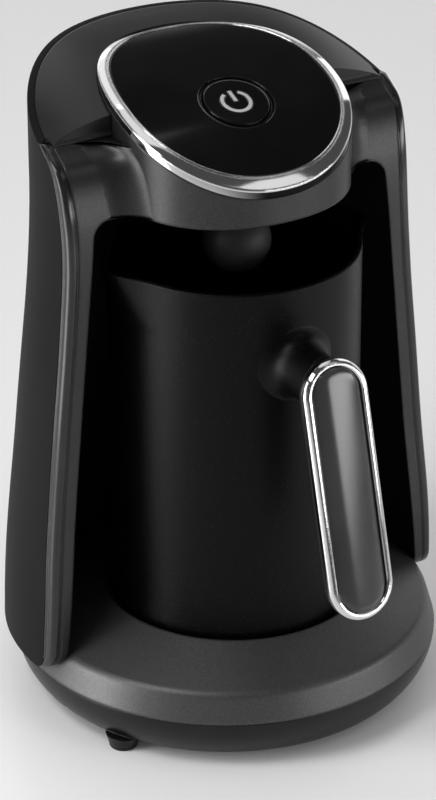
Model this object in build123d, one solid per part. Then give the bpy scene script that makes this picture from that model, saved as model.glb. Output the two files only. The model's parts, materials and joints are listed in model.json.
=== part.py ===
from build123d import *
from math import atan2, cos, degrees, exp, pi, radians, sin, sqrt
import os

# Electric Turkish coffee maker: a round base with a C-shaped column, a head that overhangs
# a cordless pot, and one button in the sloping top.  Millimetres, +Z up, the front faces -Y.
# The origin is on the table, midway between the handle's front and the cord gland's rear.
# Everything is drawn about the axis of the round base, and moved back to its place when it is written.

os.makedirs("parts", exist_ok=True)

# ---------------------------------------------------------------- driving dimensions
frame_y = 7.4                   # from the origin back to the axis of the round base
wall = 2.2                      # moulded housing wall
shell_gap = 0.1                 # assembly gap between fixed housing parts

# round base
base_radius = 71.3              # at the parting line
parting_z = 18.3
ridge_inset = 2.8               # where the side turns into the sloping top
ridge_z = 27.9
ridge_round = 3.5
tray_floor_inset = 6.6
tray_bottom_z = 3.9
tray_bulge_inset = 2.0          # middle of the tray's curved side
tray_bulge_z = 9.8

# feet
foot_count = 4
foot_inset = 7.8
foot_angle = 61.0               # from the front, to either side
foot_pad_radius = 4.7
foot_pad_height = 1.7
foot_stem_radius = 1.9
foot_stem_height = 3.6
foot_boss_radius = 5.0
foot_boss_waist_radius = 5.6
foot_boss_waist_z = 4.2
foot_boss_top_radius = 7.6
foot_boss_top_z = 8.6

# well that the pot stands in
pot_y = -5.5
well_radius = 44.5
well_lip_z = 37.0
well_floor_z = 33.0
well_floor_thickness = 2.4
seat_gap = 0.3                  # pot to well floor

# column, a body of revolution about its own axis, cut by a curved front sheet
column_y = 0.3
column_foot_reach = 3.7         # how far its foot stands outside the base
column_bottom_z = 22.5
column_insets = [(0.0, 14), (0.4, 34), (1.6, 54), (4.4, 83), (7.0, 111), (9.8, 140), (11.7, 169), (11.9, 188)]
front_profile = [(-13.5, 10), (-14.4, 40), (-12.8, 72), (-12.0, 110), (-11.6, 150), (-10.6, 176), (-8.0, 189), (-3.0, 198)]
hood_front_y = 4.5
hood_seam_z = 202.0
hood_crest_y = 62.0             # where the hood is highest
hood_front_fall = 0.0023        # its fall towards the front, per millimetre squared
hood_side_fall = 5.55e-7        # its fall to the sides, per millimetre to the fourth power
crown_radius = 132.0            # the top is part of a cylinder along X
crest_y = 38.0
crest_z = 217.5
sky_z = 250.0                   # above everything, for cutting tools
far = 300.0                     # larger than the machine, for cutting tools

# side panels and their glossy front rims
panel_wall = 2.4
panel_rear_y = 22.0
rim_depth = 3.4
rim_width = 4.2
panel_corner_round = 5.5        # lower front corner of each panel
rim_corner_round = 9.0          # lower front corner of each rim and of the wall behind it

# cavity that the pot stands in, a cone about its own axis
cavity_y = -13.0
cavity_radius = 60.4            # half-way up
cavity_mid_z = 100.0
cavity_taper = 0.0933           # radius lost per millimetre of height
ceiling_z = 180.0
cavity_round = 6.0
web_z = 38.2                    # horizontal web low in the column

# head, an egg-shaped outline
head_half_width = 39.0
head_front = 36.6               # from head_y to the front
head_rear = 47.5                # from head_y to the rear
head_y = -1.8
head_power = 2.15               # exponent of the superellipse
head_points = 28
ring_width = 3.7
ring_height = 3.4
panel_drop = 0.25               # panel surface below the ring's edge
panel_thickness = 2.4
panel_ledge = 2.5               # skirt under the panel's edge, inwards from the ring
panel_flange_thickness = 1.6
underside_thickness = 2.4

# power button, square to the sloping top
button_y = -6.6
button_radius = 10.7
button_thickness = 3.0
button_travel = 0.6
button_stem_radius = 2.4
bezel_outer_radius = 12.1
bezel_inner_radius = 11.05
bezel_drop = 0.5                # below the panel's surface
bezel_depth = 4.6
bezel_collar = 1.6
bezel_collar_height = 1.2
running_gap = 0.08
press_gap = 0.3
icon_radius = 4.6
icon_stroke = 1.3
icon_depth = 0.5
icon_gap_angle = 64.0
icon_bar_length = 5.2

# control board under the top panel
board_drop = 12.6               # from the top surface to the board's upper face
board_thickness = 1.6
board_half_width = 25.0
board_half_depth = 20.0
board_post_x = 20.5
board_post_y = 15.5
board_post_radius = 2.8
screw_radius = 1.4
screw_head_radius = 2.6
screw_head_height = 1.6
tact_width = 6.0
tact_height = 3.4
tact_plunger_radius = 1.7
tact_plunger_rise = 0.9

# sensor that hangs from the head over the pot
sensor_y = -7.0
sensor_ball_radius = 11.2
sensor_ball_z = 162.0
sensor_neck_radius = 6.0
sensor_thread_height = 4.4
sensor_nut_radius = 9.0
sensor_nut_height = 3.0

# connector between base and pot
post_radius = 15.5
post_rise = 8.0                 # above the well floor
post_flange_radius = 19.0
post_flange_thickness = 2.0
contact_pin_radius = 1.6
contact_well_radius = 4.6
contact_groove_inner = 10.2
contact_groove_outer = 12.2
contact_well_depth = 6.0
contact_thickness = 0.6
pot_contact_gap = 0.45          # between the pot's contacts and what they slide over
socket_gap = 0.4
socket_wall = 2.6
socket_depth_spare = 2.5

# pot
pot_rim_radius = 41.3
pot_foot_radius = 41.6
pot_rim_z = 160.4
pot_wall = 1.6
pot_floor_z = 54.0
pot_edge_round = 1.4
pot_inner_round = 5.0
lip_reach = 6.5                 # how far a pouring lip stands out at the rim
lip_spread = 13.0               # degrees, half the width of a lip
lip_depth = 18.0                # height of a lip, down from the rim
lip_points = 48
heater_plate_radius = 35.0
heater_plate_thickness = 3.0
heater_ring_radius = 27.0
heater_tube_radius = 3.1
cap_thickness = 2.0
pot_lift = 10.0

# handle
handle_length = 84.9
handle_width = 22.9
handle_depth = 6.6
handle_frame_depth = 3.6
handle_border = 2.5
handle_reach = 75.0             # pot axis to the middle of the front face
handle_mid_z = 104.6
handle_lean = 16.4              # degrees, the top leans towards the pot
core_inset = 0.7                # of the core's rear part, from the frame's outline
inlay_thickness = 3.0
inlay_crown = 26.0              # radius of the inlay's convex front
inlay_fit = 0.1
handle_screw_places = [24.0, 33.0]
handle_screw_bite = 5.0
neck_root_z = 135.0
neck_root_half_width = 13.0
neck_root_half_height = 11.5
neck_waist_reach = 5.5          # from the pot's side out to the waist
neck_waist_half_width = 8.2
neck_waist_half_height = 8.6
neck_end_half_width = 7.6
neck_end_half_height = 10.5
neck_end_z = 133.0

# cord entry at the rear
gland_z = 54.0
gland_radius = 6.5
gland_flange_radius = 8.5
gland_flange_thickness = 4.0    # outside the shell, at the middle
gland_length = 12.0             # inside the shell
gland_bore_radius = 3.5

# screws that hold base and column
base_screw_inset = 16.1
base_screw_angle = 38.0         # from the front and the rear, to either side
column_screw_inset = 9.5
column_screw_angles = [-51.0, -28.0, 28.0, 51.0]
column_screw_head_z = 21.0
screw_boss_radius = 3.6

# power board in the base
power_board_half_width = 34.0
power_board_half_depth = 21.0
power_board_y = 12.0
power_board_z = 12.0
power_post_radius = 3.0
relay_size = (16.0, 19.0, 9.0)

loom_radius = 2.4
loom_bend = 7.0
loom_inset = 12.8
loom_top_z = 193.0
loom_hole_radius = 3.2

# radii and places that follow from the base
ridge_radius = base_radius - ridge_inset
tray_floor_radius = base_radius - tray_floor_inset
tray_bulge_radius = base_radius - tray_bulge_inset
foot_ring_radius = base_radius - foot_inset
column_foot_radius = base_radius + column_foot_reach
loom_y = base_radius - loom_inset


# ---------------------------------------------------------------- helpers
def cylinder(radius, low, high, x=0.0, y=0.0):
    """Upright cylinder between two heights."""
    return Pos(x, y, (low + high) / 2) * Cylinder(radius, high - low)


def tube(outer, inner, low, high, x=0.0, y=0.0):
    """Upright ring between two heights."""
    return cylinder(outer, low, high, x, y) - cylinder(inner, low - 1, high + 1, x, y)


def frustum(low_radius, high_radius, low, high, low_y=0.0, high_y=0.0):
    """Solid between two horizontal circles, which may have different centres."""
    low_face = Pos(0, low_y, low) * Circle(low_radius)
    high_face = Pos(0, high_y, high) * Circle(high_radius)
    return loft([low_face, high_face], ruled=True)


def block(x_low, x_high, y_low, y_high, z_low, z_high):
    """Box given by its limits."""
    centre = Pos((x_low + x_high) / 2, (y_low + y_high) / 2, (z_low + z_high) / 2)
    return centre * Box(x_high - x_low, y_high - y_low, z_high - z_low)


def crown_z(y):
    """Height of the top surface."""
    return crest_z - crown_radius + sqrt(crown_radius ** 2 - (y - crest_y) ** 2)


def above_crown(drop):
    """Everything higher than the top surface lowered by drop."""
    drum = Pos(0, crest_y, crest_z - crown_radius) * Rot(0, 90, 0) * Cylinder(crown_radius - drop, 300)
    return block(-120, 120, -120, 120, ceiling_z - 12, sky_z) - drum


def hood_z(x, y):
    """Height of the hood's surface, which falls to the front and to both sides."""
    return crest_z - hood_side_fall * x ** 4 - hood_front_fall * (y - hood_crest_y) ** 2


def above_hood(drop):
    """Everything higher than the hood's surface lowered by drop."""
    faces = []
    for y in (-20, 5, 30, 55, 80, 105):
        points = [(x, hood_z(x, y) - drop) for x in (-90, -68, -45, -22, 0, 22, 45, 68, 90)]
        rest = Polyline(points[-1], (90, sky_z), (-90, sky_z), points[0])
        section = Plane(origin=(0, y, 0), x_dir=(1, 0, 0), z_dir=(0, -1, 0))
        faces.append(section * make_face(Spline(*points) + rest))
    return loft(faces)


def egg(grow, low, high):
    """Prism of the head's egg outline, grown outwards by grow."""
    points = []
    for step in range(head_points):
        turn = 2 * pi * step / head_points
        side = abs(sin(turn)) ** (2 / head_power)
        ahead = abs(cos(turn)) ** (2 / head_power)
        reach = head_rear if cos(turn) > 0 else head_front
        x = (head_half_width + grow) * side * (1 if sin(turn) >= 0 else -1)
        y = head_y + (reach + grow) * ahead * (1 if cos(turn) > 0 else -1)
        points.append((x, y))
    outline = make_face(Spline(*points, periodic=True))
    return extrude(Pos(0, 0, low) * outline, amount=high - low)


def column_revolve(inset, bottom=column_bottom_z):
    """The column's outer form, made smaller all round by inset."""
    points = [(column_foot_radius - taper - inset, height) for taper, height in column_insets]
    side = Spline(*points)
    foot = points[0]
    head = points[-1]
    top = (head[0], sky_z)
    rest = Polyline(head, top, (0, sky_z), (0, foot[1]), foot)
    face = Plane.XZ * make_face(side + rest)
    form = Pos(0, column_y, 0) * revolve(face, Axis.Z)
    return form - block(-120, 120, -120, 120, 0, bottom)


def ahead_of_sheet(inset):
    """Everything in front of the column's curved front sheet, moved back by inset."""
    points = [(y + inset, z) for y, z in front_profile]
    end = (hood_front_y + inset, hood_seam_z + 1.5)
    sheet = Spline(*points, end, tangents=((0, 1), (0.45, 1)))
    rest = Polyline(end, (hood_front_y + inset, sky_z), (-120, sky_z), (-120, points[0][1]), points[0])
    return extrude(Plane.YZ * make_face(sheet + rest), amount=120, both=True)


def under_corner(depth, rounding, inset=0.0):
    """Everything under a rounded lower corner that stands depth behind the front sheet, moved in by inset."""
    y = front_profile[1][0] + depth + rounding
    z = column_bottom_z + rounding
    corner = block(-120, 120, y - 2 * rounding, y, 0, z)
    return corner - Pos(0, y, z) * Rot(0, 90, 0) * Cylinder(rounding - inset, 300)


def ahead_of_front(inset):
    """Everything in front of the column's front sheet and under its lower corner, moved back by inset."""
    return ahead_of_sheet(inset) + under_corner(0, rim_corner_round, inset)


def column_form(inset, drop):
    """Column with its front sheet and hood surface, the first made smaller by inset, the second lower by drop."""
    return column_revolve(inset) - ahead_of_front(inset) - above_hood(drop)


def cavity(grow, low, high, rounding):
    """Cone that clears the pot, grown by grow and rounded at its ceiling."""
    low_radius = cavity_radius + (cavity_mid_z - low) * cavity_taper + grow
    high_radius = cavity_radius + (cavity_mid_z - high) * cavity_taper + grow
    form = frustum(low_radius, high_radius, low, high, cavity_y, cavity_y)
    return fillet(form.edges().group_by(Axis.Z)[-1], rounding)


def rear_y_at(height):
    """Where the column's rear surface is at a height."""
    below = [place for place in column_insets if place[1] <= height][-1]
    above = [place for place in column_insets if place[1] > height][0]
    share = (height - below[1]) / (above[1] - below[1])
    return column_y + column_foot_radius - below[0] - share * (above[0] - below[0])


def around_base(inset, turn):
    """Point at an angle from the rear, inset from the base's outline."""
    reach = base_radius - inset
    return reach * sin(radians(turn)), reach * cos(radians(turn))


def screw(x, y, head_z, tip_z):
    """Upright pan-head screw, the head at head_z and the tip at tip_z."""
    up = 1 if tip_z > head_z else -1
    neck_z = head_z + up * screw_head_height
    low_head, high_head = sorted((head_z, neck_z))
    low_shank, high_shank = sorted((neck_z, tip_z))
    return cylinder(screw_head_radius, low_head, high_head, x, y) + cylinder(screw_radius, low_shank, high_shank, x, y)


def ahead_of(depth):
    """Everything at the local Z above a depth, for cutting."""
    return Pos(0, 0, depth + far / 2) * Box(far, far, far)


def write(shape, name):
    export_step(Pos(0, frame_y, 0) * shape, "parts/" + name + ".step")


# ---------------------------------------------------------------- shared forms
base_form = frustum(base_radius, ridge_radius, parting_z, ridge_z)
base_form += frustum(ridge_radius, well_radius, ridge_z, well_lip_z, 0, pot_y)
ridge = [edge for edge in base_form.edges() if abs(edge.center().Z - ridge_z) < 0.1 and edge.length > 300]
base_form = fillet(ridge, ridge_round)

outer_form = column_form(0, 0)
skin_form = column_revolve(panel_wall, column_bottom_z - 2)
rim_form = column_revolve(rim_depth, column_bottom_z - 2)
cavity_form = cavity(0, 10, ceiling_z, cavity_round)
cavity_wall_form = cavity(wall, 10, ceiling_z + wall, cavity_round + wall)

button_z = crown_z(button_y)
button_slope = degrees(atan2(crest_y - button_y, sqrt(crown_radius ** 2 - (crest_y - button_y) ** 2)))
button_normal = (0, -sin(radians(button_slope)), cos(radians(button_slope)))
button_plane = Plane(origin=(0, button_y, button_z), x_dir=(1, 0, 0), z_dir=button_normal)


def on_button(shape):
    """Places a shape that is drawn about the button's centre, its axis along the local Z."""
    return button_plane.location * shape


# ---------------------------------------------------------------- base
def foot_places():
    places = []
    for side in (-1, 1):
        for turn in (foot_angle, 180 - foot_angle):
            x = side * foot_ring_radius * sin(radians(turn))
            y = -foot_ring_radius * cos(radians(turn))
            places.append((x, y))
    return places


def base_screw_places():
    turns = (-base_screw_angle, base_screw_angle, 180 - base_screw_angle, 180 + base_screw_angle)
    return [around_base(base_screw_inset, turn) for turn in turns]


def column_screw_places():
    return [around_base(column_screw_inset, turn) for turn in column_screw_angles]


def make_base_top_cover():
    inner = frustum(base_radius - wall, ridge_radius - wall, parting_z - 1, ridge_z - wall / 2)
    inner += frustum(ridge_radius - wall, well_radius, ridge_z - wall / 2, well_lip_z - wall, 0, pot_y)
    cover = base_form - inner
    well = cylinder(well_radius + wall, well_floor_z - well_floor_thickness, well_lip_z, 0, pot_y)
    cover += well & base_form
    cover -= cylinder(well_radius - 0.6, well_floor_z, well_lip_z + 5, 0, pot_y)
    cover -= cylinder(post_radius + shell_gap, 0, sky_z, 0, pot_y)
    cover -= cylinder(loom_hole_radius, 0, sky_z, 0, loom_y)
    for x, y in base_screw_places():
        boss = cylinder(screw_boss_radius, parting_z - 8, well_lip_z, x, y) & base_form_column(x, y)
        cover += boss
        cover -= cylinder(screw_radius, parting_z - 9, parting_z + 5, x, y)
    for x, y in column_screw_places():
        cover += cylinder(screw_boss_radius, column_screw_head_z, well_lip_z, x, y) & base_form
        cover -= cylinder(screw_radius + shell_gap, parting_z - 1, well_lip_z, x, y)
        cover -= cylinder(screw_head_radius + shell_gap, parting_z - 1, column_screw_head_z + screw_head_height, x, y)
    return cover


def base_form_column(x, y):
    """The part of the base's outline above and below one screw, open at the bottom."""
    return base_form + cylinder(screw_boss_radius, parting_z - 8, parting_z + 0.5, x, y)


def make_base_tray():
    side = ThreePointArc((tray_floor_radius, tray_bottom_z), (tray_bulge_radius, tray_bulge_z), (base_radius, parting_z))
    rest = Polyline((base_radius, parting_z), (0, parting_z), (0, tray_bottom_z), (tray_floor_radius, tray_bottom_z))
    outer = revolve(Plane.XZ * make_face(side + rest), Axis.Z)
    inner_side = ThreePointArc(
        (tray_floor_radius - wall / 2, tray_bottom_z + wall),
        (tray_bulge_radius - wall, tray_bulge_z + wall / 2),
        (base_radius - wall, parting_z),
    )
    inner_rest = Polyline(
        (base_radius - wall, parting_z),
        (base_radius - wall, parting_z + 1),
        (0, parting_z + 1),
        (0, tray_bottom_z + wall),
        (tray_floor_radius - wall / 2, tray_bottom_z + wall),
    )
    tray = outer - revolve(Plane.XZ * make_face(inner_side + inner_rest), Axis.Z)
    outer_with_feet = outer + cylinder(base_radius, 0, tray_bottom_z + 1)
    for x, y in foot_places():
        waist = Pos(0, 0, foot_boss_waist_z) * Circle(foot_boss_waist_radius)
        top = Pos(0, 0, foot_boss_top_z) * Circle(foot_boss_top_radius)
        lower = loft([Pos(0, 0, foot_pad_height) * Circle(foot_boss_radius), waist])
        tray += (Pos(x, y, 0) * (lower + loft([waist, top]))) & outer_with_feet
        tray -= cylinder(foot_stem_radius + shell_gap, 0, foot_pad_height + foot_stem_height + 0.5, x, y)
    for x, y in base_screw_places():
        tray += cylinder(screw_boss_radius + wall, tray_bottom_z, parting_z - 8, x, y)
        tray -= cylinder(screw_radius + shell_gap, 0, parting_z, x, y)
        tray -= cylinder(screw_head_radius + shell_gap, 0, tray_bottom_z + 3.2, x, y)
    for sx in (-1, 1):
        for sy in (-1, 1):
            x = sx * (power_board_half_width - power_post_radius)
            y = power_board_y + sy * (power_board_half_depth - power_post_radius)
            tray += cylinder(power_post_radius, tray_bottom_z + 1, power_board_z, x, y)
    return tray


def make_foot_pad(x, y):
    pad = cylinder(foot_pad_radius, 0, foot_pad_height, x, y)
    pad = chamfer(pad.edges().group_by(Axis.Z)[0], 0.4)
    return pad + cylinder(foot_stem_radius, foot_pad_height - 0.2, foot_pad_height + foot_stem_height, x, y)


def make_base_screws():
    head_z = tray_bottom_z + 3.2 - screw_head_height
    return Compound([screw(x, y, head_z, parting_z + 4) for x, y in base_screw_places()])


def make_connector_post():
    low = well_floor_z - well_floor_thickness
    top = well_floor_z + post_rise
    post = cylinder(post_radius, low - post_flange_thickness, top, 0, pot_y)
    post = fillet(post.edges().group_by(Axis.Z)[-1], 1.2)
    post += cylinder(post_flange_radius, low - post_flange_thickness, low, 0, pot_y)
    post -= tube(contact_groove_outer, contact_groove_inner, top - contact_well_depth, top + 1, 0, pot_y)
    post -= cylinder(contact_well_radius, top - contact_well_depth, top + 1, 0, pot_y)
    post -= cylinder(contact_pin_radius, 0, top, 0, pot_y)
    return post


def make_connector_contacts():
    low = well_floor_z - well_floor_thickness - post_flange_thickness
    top = well_floor_z + post_rise
    ring_low = top - contact_well_depth
    pin = cylinder(contact_pin_radius, low, top - 1.5, 0, pot_y)
    inner = tube(contact_well_radius, contact_well_radius - contact_thickness, ring_low, top - 0.5, 0, pot_y)
    outer = tube(contact_groove_outer, contact_groove_outer - contact_thickness, ring_low, top - 0.5, 0, pot_y)
    return [pin, inner, outer]


def make_power_board():
    y_low = power_board_y - power_board_half_depth
    y_high = power_board_y + power_board_half_depth
    w = power_board_half_width
    return block(-w, w, y_low, y_high, power_board_z, power_board_z + board_thickness)


def make_relay():
    width, depth, height = relay_size
    z = power_board_z + board_thickness
    y = power_board_y + 6
    return block(14, 14 + width, y - depth / 2, y + depth / 2, z, z + height)


def make_terminal_block():
    z = power_board_z + board_thickness
    y = power_board_y + 8
    return block(-30, -12, y - 5, y + 5, z, z + 8)


# ---------------------------------------------------------------- column
def side_tongue(x_sign):
    """Everything at one side that lies in front of the panels' rear edges."""
    return block(0, 120, -120, panel_rear_y, 0, sky_z) if x_sign > 0 else block(-120, 0, -120, panel_rear_y, 0, sky_z)


rim_cut = ahead_of_sheet(rim_width) + under_corner(rim_width, panel_corner_round)
rim_zone = (outer_form - rim_form) & rim_cut


def make_side_panel(x_sign):
    panel = (outer_form - skin_form) & side_tongue(x_sign)
    return panel - rim_cut


def make_side_rim(x_sign):
    return rim_zone & side_tongue(x_sign)


def make_rear_shell():
    shell = outer_form - skin_form
    shell &= block(-120, 120, panel_rear_y - 5, 120, 0, sky_z)
    shell -= side_tongue(1)
    shell -= side_tongue(-1)
    place = Pos(0, rear_y_at(gland_z), gland_z) * Rot(90, 0, 0)
    gland_hole = place * Cylinder(gland_radius + shell_gap, 2 * gland_length)
    return shell - gland_hole


def make_top_hood():
    """Lid between the panels, with a skirt all round and the wall that closes the column's front."""
    hood = outer_form & column_revolve(panel_wall + shell_gap)
    hood -= column_revolve(panel_wall + shell_gap + wall) - ahead_of_front(wall) - above_hood(wall)
    hood &= block(-120, 120, 0, 120, hood_seam_z, sky_z)
    return hood - rim_zone - egg(shell_gap, 0, sky_z)


def make_front_shell():
    inner_form = column_revolve(panel_wall + shell_gap / 2)
    behind_front = (inner_form - rim_cut) + ((rim_form & rim_cut) - ahead_of_front(0))
    below_seam = block(-120, 120, -120, 120, 10, hood_seam_z - shell_gap)
    cavity_wall = (cavity_wall_form - cavity_form) & behind_front
    front_wall = (rim_form & ahead_of_front(wall)) - ahead_of_front(0) - cavity_form
    ceiling = behind_front & block(-120, 120, -120, 120, ceiling_z, ceiling_z + wall)
    web = (behind_front & block(-120, 120, -120, 120, web_z, web_z + wall)) - cavity_form
    shell = cavity_wall + (front_wall & below_seam) + ceiling + web
    head_wall = egg(0, ceiling_z, sky_z) - egg(-wall, ceiling_z - 1, sky_z) - above_crown(ring_height)
    shell -= egg(-wall, ceiling_z - 1, sky_z)
    shell += head_wall
    for x, y in column_screw_places():
        boss = cylinder(screw_boss_radius, ridge_z - 10, web_z + 1, x, y)
        shell += boss
        shell -= cylinder(screw_radius, ridge_z - 12, web_z, x, y)
    shell -= cylinder(base_radius + shell_gap, 0, parting_z)
    shell -= base_form
    shell -= cylinder(loom_hole_radius, 0, loom_top_z - 8, 0, loom_y)
    z = loom_top_z
    shell -= block(-loom_hole_radius, loom_hole_radius, head_rear - 12, head_rear + 6, z - loom_hole_radius, z + loom_hole_radius)
    return shell


def make_column_screws():
    screws = []
    for x, y in column_screw_places():
        screws.append(screw(x, y, column_screw_head_z, web_z - 1))
    return Compound(screws)


def make_cord_gland():
    end_y = rear_y_at(gland_z) + gland_flange_thickness
    lying = Rot(90, 0, 0)
    body = Pos(0, end_y - gland_length / 2, gland_z) * lying * Cylinder(gland_radius, gland_length)
    flange = Pos(0, end_y - 5, gland_z) * lying * Cylinder(gland_flange_radius, 10) - outer_form
    bore = Pos(0, end_y, gland_z) * lying * Cylinder(gland_bore_radius, 4 * gland_length)
    return body + flange - bore


# ---------------------------------------------------------------- head
def make_chrome_ring():
    ring = egg(0, ceiling_z, sky_z) - egg(-ring_width, ceiling_z - 1, sky_z)
    ring -= above_crown(0)
    return ring & above_crown(ring_height)


def make_top_panel():
    outline = egg(-ring_width - shell_gap, ceiling_z, sky_z)
    hollow = egg(-ring_width - panel_ledge, ceiling_z - 1, sky_z)
    skirt_drop = ring_height + shell_gap + panel_flange_thickness
    panel = (outline - above_crown(panel_drop)) & above_crown(panel_drop + panel_thickness)
    panel += ((outline - above_crown(panel_drop + 1)) & above_crown(skirt_drop)) - hollow
    flange = egg(-wall - shell_gap, ceiling_z, sky_z) - above_crown(ring_height + shell_gap)
    panel += (flange & above_crown(skirt_drop)) - hollow
    for sx in (-1, 1):
        for sy in (-1, 1):
            post = Pos(sx * board_post_x, sy * board_post_y, -board_drop / 2 - 0.5) * Cylinder(
                board_post_radius, board_drop - 1
            )
            panel += on_button(post) - above_crown(panel_drop + 1)
            hole = Pos(sx * board_post_x, sy * board_post_y, -board_drop) * Cylinder(screw_radius, 12)
            panel -= on_button(hole)
    panel -= on_button(Cylinder(bezel_outer_radius + shell_gap, 30))
    return panel


def make_button_bezel():
    ring = Pos(0, 0, -bezel_depth / 2 + 1) * Cylinder(bezel_outer_radius, bezel_depth + 2)
    ring = on_button(ring) - above_crown(panel_drop + bezel_drop)
    collar = on_button(Pos(0, 0, -bezel_depth / 2) * Cylinder(bezel_outer_radius + bezel_collar, bezel_depth))
    ring += collar & underside_of_panel()
    return ring - on_button(Cylinder(bezel_inner_radius, 6 * bezel_depth))


def underside_of_panel():
    """Space under the top panel, down to where the bezel's collar ends."""
    drum = Pos(0, crest_y, crest_z - crown_radius) * Rot(0, 90, 0)
    depth = panel_drop + panel_thickness
    return drum * Cylinder(crown_radius - depth, 120) - drum * Cylinder(crown_radius - depth - bezel_collar_height, 130)


def icon_faces(grow):
    """Ring with a gap and an upright bar, as plane faces."""
    ring = Circle(icon_radius + icon_stroke / 2 + grow) - Circle(icon_radius - icon_stroke / 2 - grow)
    half = radians(icon_gap_angle / 2)
    reach = 2 * icon_radius
    wedge = make_face(Polyline((0, 0), (-reach * sin(half), reach * cos(half)), (reach * sin(half), reach * cos(half)), (0, 0)))
    bar = Pos(0, icon_radius - icon_bar_length / 2 + 0.6) * Rectangle(icon_stroke + 2 * grow, icon_bar_length + 2 * grow)
    return ring - wedge, bar


def make_power_button():
    cap = Pos(0, 0, -button_thickness / 2 + 0.6) * Cylinder(button_radius, button_thickness + 1.2)
    cap = on_button(cap) - above_crown(panel_drop)
    stem_bottom = -(board_drop - tact_height - tact_plunger_rise - press_gap)
    stem_top = -button_thickness / 2
    stem = Pos(0, 0, (stem_bottom + stem_top) / 2) * Cylinder(button_stem_radius, stem_top - stem_bottom)
    cap += on_button(stem)
    for face in icon_faces(0):
        cap -= on_button(extrude(Pos(0, 0, -icon_depth - 0.5) * face, amount=5))
    return cap


def make_power_icon():
    icon = None
    for face in icon_faces(-0.02):
        solid = on_button(extrude(Pos(0, 0, -icon_depth - 0.5) * face, amount=3)) - above_crown(panel_drop)
        icon = solid if icon is None else icon + solid
    return icon


def make_control_board():
    board = Box(2 * board_half_width, 2 * board_half_depth, board_thickness)
    board = Pos(0, 0, -board_drop - board_thickness / 2) * board
    for sx in (-1, 1):
        for sy in (-1, 1):
            board -= Pos(sx * board_post_x, sy * board_post_y, -board_drop) * Cylinder(screw_radius + shell_gap, 8)
    return on_button(board)


def make_board_screws():
    screws = []
    low = -board_drop - board_thickness - screw_head_height
    for sx in (-1, 1):
        for sy in (-1, 1):
            one = Pos(sx * board_post_x, sy * board_post_y, low + screw_head_height / 2) * Cylinder(
                screw_head_radius, screw_head_height
            )
            one += Pos(sx * board_post_x, sy * board_post_y, low + screw_head_height + 3) * Cylinder(screw_radius, 6)
            screws.append(on_button(one))
    return Compound(screws)


def make_tact_switch():
    body = Pos(0, 0, -board_drop + tact_height / 2) * Box(tact_width, tact_width, tact_height)
    body -= Pos(0, 0, -board_drop + tact_height) * Cylinder(tact_plunger_radius + running_gap, 2 * (tact_height - 0.8))
    return on_button(body)


def make_tact_plunger():
    low = -board_drop + tact_height - 1.6
    high = -board_drop + tact_height + tact_plunger_rise
    return on_button(Pos(0, 0, (low + high) / 2) * Cylinder(tact_plunger_radius, high - low))


def make_buzzer():
    return on_button(Pos(-14, -4, -board_drop + 2.6) * Cylinder(5.5, 5.2))


def make_button_leds():
    return [on_button(Pos(x, 0, -board_drop + 0.8) * Box(2.0, 3.0, 1.6)) for x in (-6.5, 6.5)]


def make_head_underside():
    plate = egg(-wall - shell_gap, ceiling_z, ceiling_z + underside_thickness)
    plate -= cylinder(sensor_neck_radius + shell_gap, 0, sky_z, 0, sensor_y)
    return plate


def make_sensor_dome():
    top = ceiling_z + underside_thickness + sensor_thread_height
    ball = Pos(0, sensor_y, sensor_ball_z) * Sphere(sensor_ball_radius)
    neck = cylinder(sensor_neck_radius, sensor_ball_z, top, 0, sensor_y)
    flare = Pos(0, sensor_y, 0) * loft(
        [Pos(0, 0, sensor_ball_z + 7) * Circle(8.6), Pos(0, 0, ceiling_z) * Circle(sensor_nut_radius)]
    )
    dome = ball + neck + flare
    return dome


def make_sensor_nut():
    low = ceiling_z + underside_thickness
    nut = extrude(Pos(0, sensor_y, low) * RegularPolygon(sensor_nut_radius, 6), amount=sensor_nut_height)
    return nut - cylinder(sensor_neck_radius + 0.02, 0, sky_z, 0, sensor_y)


def make_sensor_board():
    z = ceiling_z + underside_thickness + sensor_thread_height
    return block(-9, 9, sensor_y - 8, sensor_y + 8, z, z + 1.2)


# ---------------------------------------------------------------- wiring
def loom_path():
    """From the power board up the back of the column and into the head."""
    board_top = power_board_z + board_thickness + loom_radius
    end = board_rear_end()
    return FilletPolyline(
        (0, 26, board_top),
        (0, loom_y, board_top),
        (0, loom_y, loom_top_z),
        (0, end.Y + 14, loom_top_z),
        (0, end.Y, end.Z),
        radius=loom_bend,
    )


def board_rear_end():
    """Point under the control board, near its rear edge."""
    return (button_plane.location * Pos(0, board_half_depth - 4, -board_drop - board_thickness - 0.1)).position


def make_wiring_loom():
    path = loom_path()
    start = Plane(origin=path @ 0, z_dir=path % 0)
    loom = sweep(start * Circle(loom_radius), path)
    return loom - on_button(ahead_of(-board_drop - board_thickness - shell_gap))


# ---------------------------------------------------------------- pot
def pot_place(shape):
    """Moves a piece that is drawn about the pot's axis to its place in the well."""
    return Pos(0, pot_y, 0) * shape


pot_bottom_z = well_floor_z + seat_gap


def pot_cone(inset, low, high):
    """The pot's tapering side, made smaller by inset."""
    slope = (pot_rim_radius - pot_foot_radius) / (pot_rim_z - pot_bottom_z)
    low_radius = pot_foot_radius + slope * (low - pot_bottom_z) - inset
    high_radius = pot_foot_radius + slope * (high - pot_bottom_z) - inset
    return frustum(low_radius, high_radius, low, high)


def lipped_outline(radius, reach):
    """Circle with one pouring lip at each side."""
    points = []
    for step in range(lip_points):
        turn = 2 * pi * step / lip_points
        off = min(abs(turn), abs(turn - pi), abs(turn - 2 * pi))
        swell = reach * exp(-((degrees(off) / lip_spread) ** 2))
        points.append(((radius + swell) * cos(turn), (radius + swell) * sin(turn)))
    return make_face(Spline(*points, periodic=True))


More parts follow.
